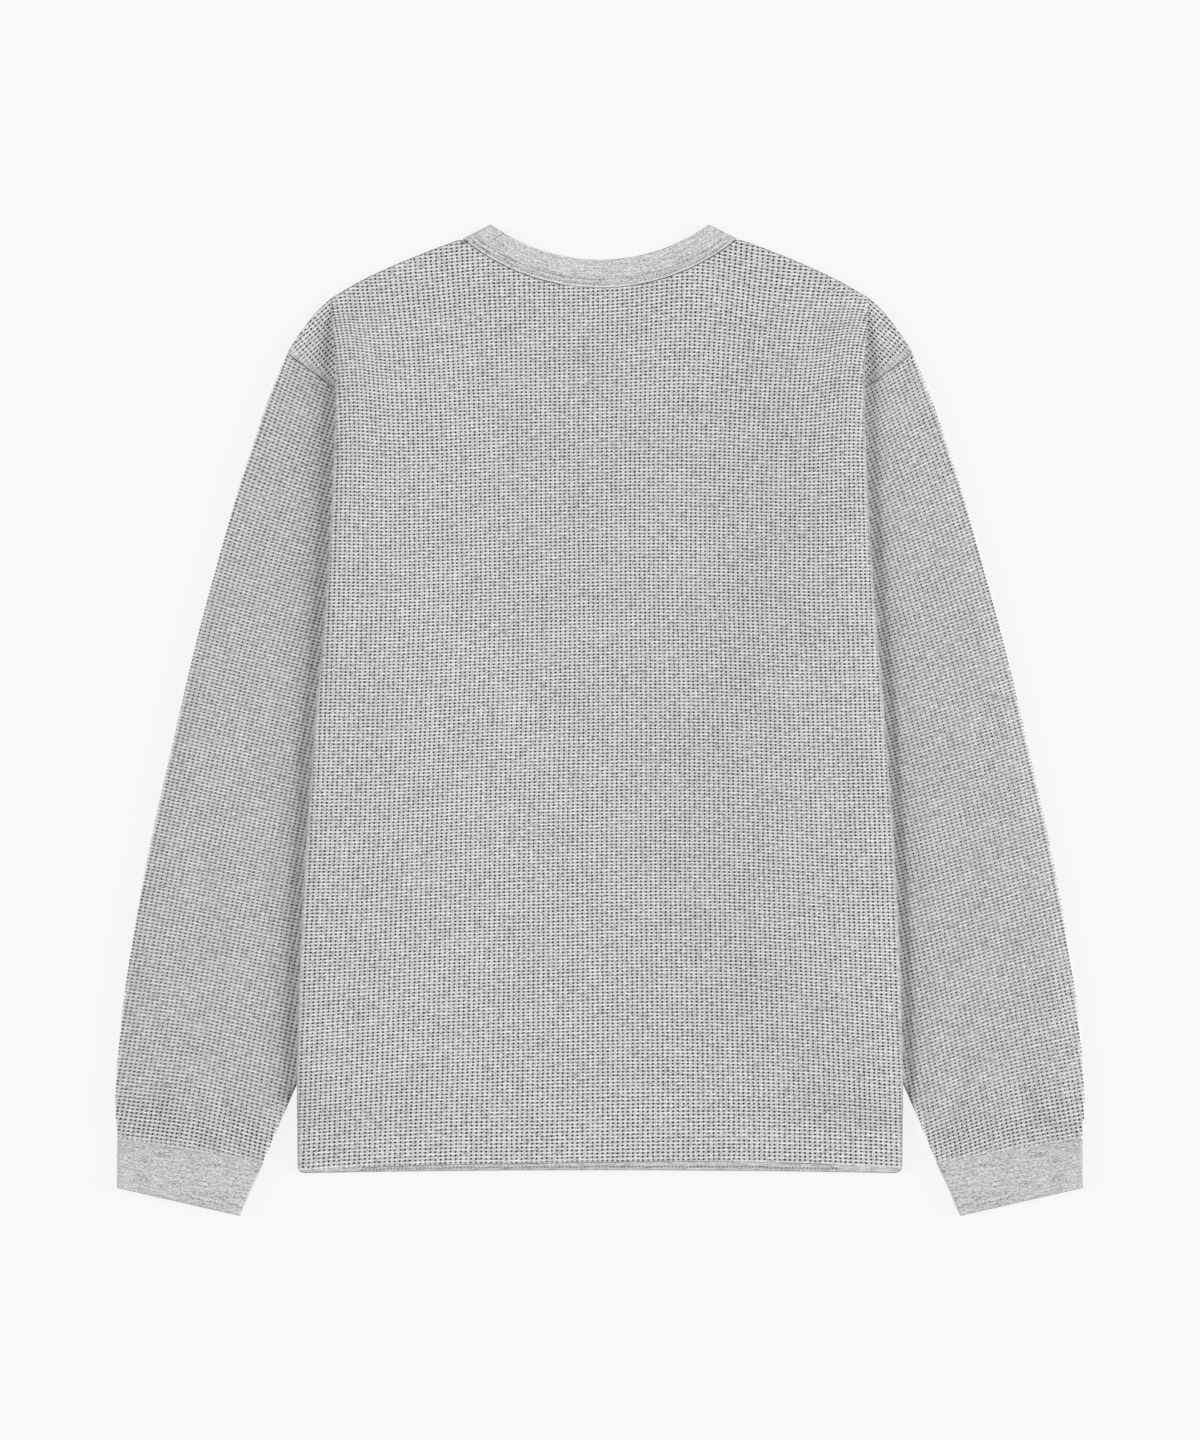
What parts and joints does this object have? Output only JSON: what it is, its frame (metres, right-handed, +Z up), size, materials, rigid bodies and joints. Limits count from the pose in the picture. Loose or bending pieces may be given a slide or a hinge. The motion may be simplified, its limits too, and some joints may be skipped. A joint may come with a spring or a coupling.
{
  "type": "thermal top",
  "caption": "Grey long-sleeved waffle-knit thermal top with a round rib neck band and rib cuffs, laid flat with its back uppermost",
  "frame": {"origin": "on the surface that the top lies on, in the middle of the garment's outline", "axes": "+Y runs from the hem to the neck, +X to the right when looking down at the back, +Z up away from the surface"},
  "size_m": [0.7178, 0.734, 0.0119],
  "materials": {
    "waffle_knit": "matt heather-grey cotton waffle knit",
    "rib_knit": "matt heather-grey fine cotton rib"
  },
  "bodies": {
    "root": {"front_panel": "waffle_knit", "back_panel": "waffle_knit", "left_sleeve": "waffle_knit", "right_sleeve": "waffle_knit", "left_cuff": "rib_knit", "right_cuff": "rib_knit", "neck_band": "rib_knit"}
  },
  "joints": []
}
